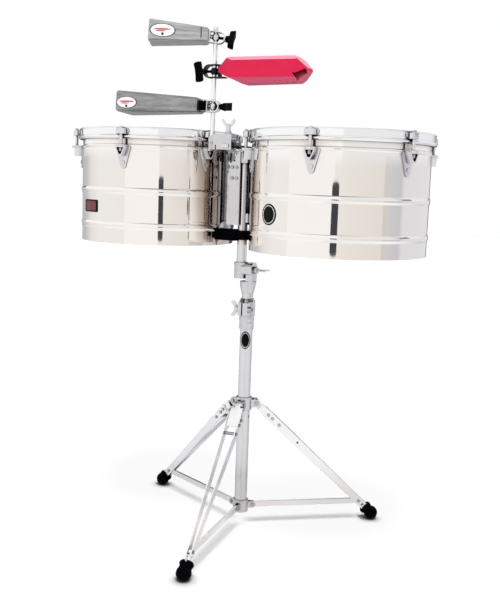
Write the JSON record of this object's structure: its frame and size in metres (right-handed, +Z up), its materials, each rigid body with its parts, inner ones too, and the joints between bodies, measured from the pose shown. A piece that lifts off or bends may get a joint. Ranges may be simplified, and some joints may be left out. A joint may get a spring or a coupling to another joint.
{
  "type": "timbales",
  "caption": "Timbales: two steel-shelled drums on a folding tripod stand, with bells and a block clamped to a rod between them.",
  "frame": {"origin": "on the floor under the axis of the stand's column", "axes": "+X along the line of the drums toward the larger one, +Y away from the player-side accessories, +Z up"},
  "size_m": [0.8315, 0.5474, 1.126],
  "materials": {
    "chrome_steel": "polished",
    "shell_steel": "polished",
    "zinc_steel": "satin",
    "bell_steel": "brushed",
    "black_steel": "satin",
    "black_rubber": "matte",
    "black_plastic": "satin",
    "head_film": "satin",
    "red_plastic": "satin"
  },
  "bodies": {
    "stand": {"column_tube": "chrome_steel", "leg_collar": "chrome_steel", "leg_hinge_pins": "zinc_steel", "height_clamp": "chrome_steel", "height_nut": "zinc_steel"},
    "height_screw": {"height_wing_bolt": "chrome_steel"},
    "brace_slider": {"brace_collar": "chrome_steel", "brace_hinge_pins": "zinc_steel"},
    "mast": {"inner_tube": "chrome_steel", "tilter_body": "chrome_steel"},
    "tilter_screw": {"tilter_wing_bolt": "chrome_steel"},
    "drum_assembly": {"post_clamp": "chrome_steel", "drum_post": "chrome_steel", "head_block": "chrome_steel", "small_hanger": "chrome_steel", "large_hanger": "chrome_steel", "hanger_screws": "zinc_steel", "post_bumper": "black_rubber", "small_shell": "shell_steel", "small_head": "head_film", "small_hoop": "chrome_steel", "small_lugs": "chrome_steel", "small_lug_nuts": "zinc_steel", "small_claws": "chrome_steel", "small_tension_rods": "chrome_steel", "large_shell": "shell_steel", "large_head": "head_film", "large_hoop": "chrome_steel", "large_lugs": "chrome_steel", "large_lug_nuts": "zinc_steel", "large_claws": "chrome_steel", "large_tension_rods": "chrome_steel", "accessory_arm": "chrome_steel", "accessory_carrier": "chrome_steel", "bell_rod": "chrome_steel"},
    "carrier_screw": {"carrier_wing_screw": "chrome_steel"},
    "upper_bell_unit": {"upper_bell": "bell_steel", "upper_bell_clamp": "chrome_steel"},
    "upper_bell_handle": {"upper_bell_screw": "black_plastic"},
    "lower_bell_unit": {"lower_bell": "bell_steel", "lower_bell_clamp": "chrome_steel"},
    "lower_bell_handle": {"lower_bell_screw": "black_plastic"},
    "block_unit": {"block": "red_plastic", "block_clamp": "black_steel"},
    "block_handle": {"block_screw": "black_plastic"},
    "leg_front": {"leg_front_knuckle": "chrome_steel", "leg_front_strips": "chrome_steel", "leg_front_rivets": "zinc_steel", "leg_front_foot": "black_rubber"},
    "brace_front_unit": {"brace_front": "chrome_steel"},
    "leg_right": {"leg_right_knuckle": "chrome_steel", "leg_right_strips": "chrome_steel", "leg_right_rivets": "zinc_steel", "leg_right_foot": "black_rubber"},
    "brace_right_unit": {"brace_right": "chrome_steel"},
    "leg_left": {"leg_left_knuckle": "chrome_steel", "leg_left_strips": "chrome_steel", "leg_left_rivets": "zinc_steel", "leg_left_foot": "black_rubber"},
    "brace_left_unit": {"brace_left": "chrome_steel"}
  },
  "joints": [
    {"name": "leg_front_fold", "type": "hinge", "parent": "stand", "child": "leg_front", "pos_m": [0.00267, -0.02787, 0.2917], "axis": [0.9954, 0.0955, 0], "range_deg": [0, 46.62]},
    {"name": "leg_right_fold", "type": "hinge", "parent": "stand", "child": "leg_right", "pos_m": [0.0228, 0.01625, 0.2917], "axis": [-0.5804, 0.8143, 0], "range_deg": [0, 46.62]},
    {"name": "leg_left_fold", "type": "hinge", "parent": "stand", "child": "leg_left", "pos_m": [-0.02548, 0.01162, 0.2917], "axis": [-0.415, -0.9098, 0], "range_deg": [0, 46.62]},
    {"name": "brace_collar_slide", "type": "slide", "parent": "stand", "child": "brace_slider", "axis": [0, 0, 1], "range_m": [0, 0.1476]},
    {"name": "brace_front_hinge", "type": "hinge", "parent": "brace_slider", "child": "brace_front_unit", "pos_m": [0.00267, -0.02787, 0.0469], "axis": [0.9954, 0.0955, 0], "range_deg": [0, 90.1]},
    {"name": "brace_right_hinge", "type": "hinge", "parent": "brace_slider", "child": "brace_right_unit", "pos_m": [0.0228, 0.01625, 0.0469], "axis": [-0.5804, 0.8143, 0], "range_deg": [0, 90.1]},
    {"name": "brace_left_hinge", "type": "hinge", "parent": "brace_slider", "child": "brace_left_unit", "pos_m": [-0.02548, 0.01162, 0.0469], "axis": [-0.415, -0.9098, 0], "range_deg": [0, 90.1]},
    {"name": "height_slide", "type": "slide", "parent": "stand", "child": "mast", "axis": [0, 0, 1], "range_m": [-0.012, 0.18]},
    {"name": "drum_tilt", "type": "hinge", "parent": "mast", "child": "drum_assembly", "pos_m": [0, 0, 0.6], "axis": [1, 0, 0], "range_deg": [-25, 25]},
    {"name": "height_screw_turn", "type": "hinge", "parent": "stand", "child": "height_screw", "pos_m": [-0.01, -0.022, 0.5125], "axis": [-1, 0, 0], "range_deg": [0, 360]},
    {"name": "tilter_screw_turn", "type": "hinge", "parent": "mast", "child": "tilter_screw", "pos_m": [0.02, 0, 0.6], "axis": [1, 0, 0], "range_deg": [0, 360]},
    {"name": "carrier_screw_turn", "type": "hinge", "parent": "drum_assembly", "child": "carrier_screw", "pos_m": [-0.0094, -0.102, 0.9], "axis": [0, 0, 1], "range_deg": [0, 360]},
    {"name": "upper_bell_swing", "type": "hinge", "parent": "drum_assembly", "child": "upper_bell_unit", "pos_m": [-0.04541, -0.102, 1.09399], "axis": [0.0105, 0, 0.9999], "range_deg": [-60, 60]},
    {"name": "upper_bell_screw_turn", "type": "hinge", "parent": "upper_bell_unit", "child": "upper_bell_handle", "pos_m": [-0.01689, -0.09046, 1.09018], "axis": [0.92, 0.3722, -0.1228], "range_deg": [0, 360]},
    {"name": "lower_bell_swing", "type": "hinge", "parent": "drum_assembly", "child": "lower_bell_unit", "pos_m": [-0.04689, -0.102, 0.95249], "axis": [0.0105, 0, 0.9999], "range_deg": [-60, 60]},
    {"name": "lower_bell_screw_turn", "type": "hinge", "parent": "lower_bell_unit", "child": "lower_bell_handle", "pos_m": [-0.01596, -0.10038, 0.95141], "axis": [0.998, 0.0523, -0.0349], "range_deg": [0, 360]},
    {"name": "block_swing", "type": "hinge", "parent": "drum_assembly", "child": "block_unit", "pos_m": [-0.04614, -0.102, 1.02449], "axis": [0.0105, 0, 0.9999], "range_deg": [-60, 60]},
    {"name": "block_screw_turn", "type": "hinge", "parent": "block_unit", "child": "block_handle", "pos_m": [-0.07714, -0.102, 1.02482], "axis": [-0.9999, 0, 0.0105], "range_deg": [0, 360]}
  ],
  "couplings": [
    {"joint": "leg_right_fold", "follows": "leg_front_fold", "ratio": 1},
    {"joint": "leg_left_fold", "follows": "leg_front_fold", "ratio": 1},
    {"joint": "brace_collar_slide", "follows": "leg_front_fold", "m_per_rad": 0.18119},
    {"joint": "brace_front_hinge", "follows": "leg_front_fold", "ratio": 1.9304},
    {"joint": "brace_right_hinge", "follows": "leg_front_fold", "ratio": 1.9304},
    {"joint": "brace_left_hinge", "follows": "leg_front_fold", "ratio": 1.9304}
  ]
}
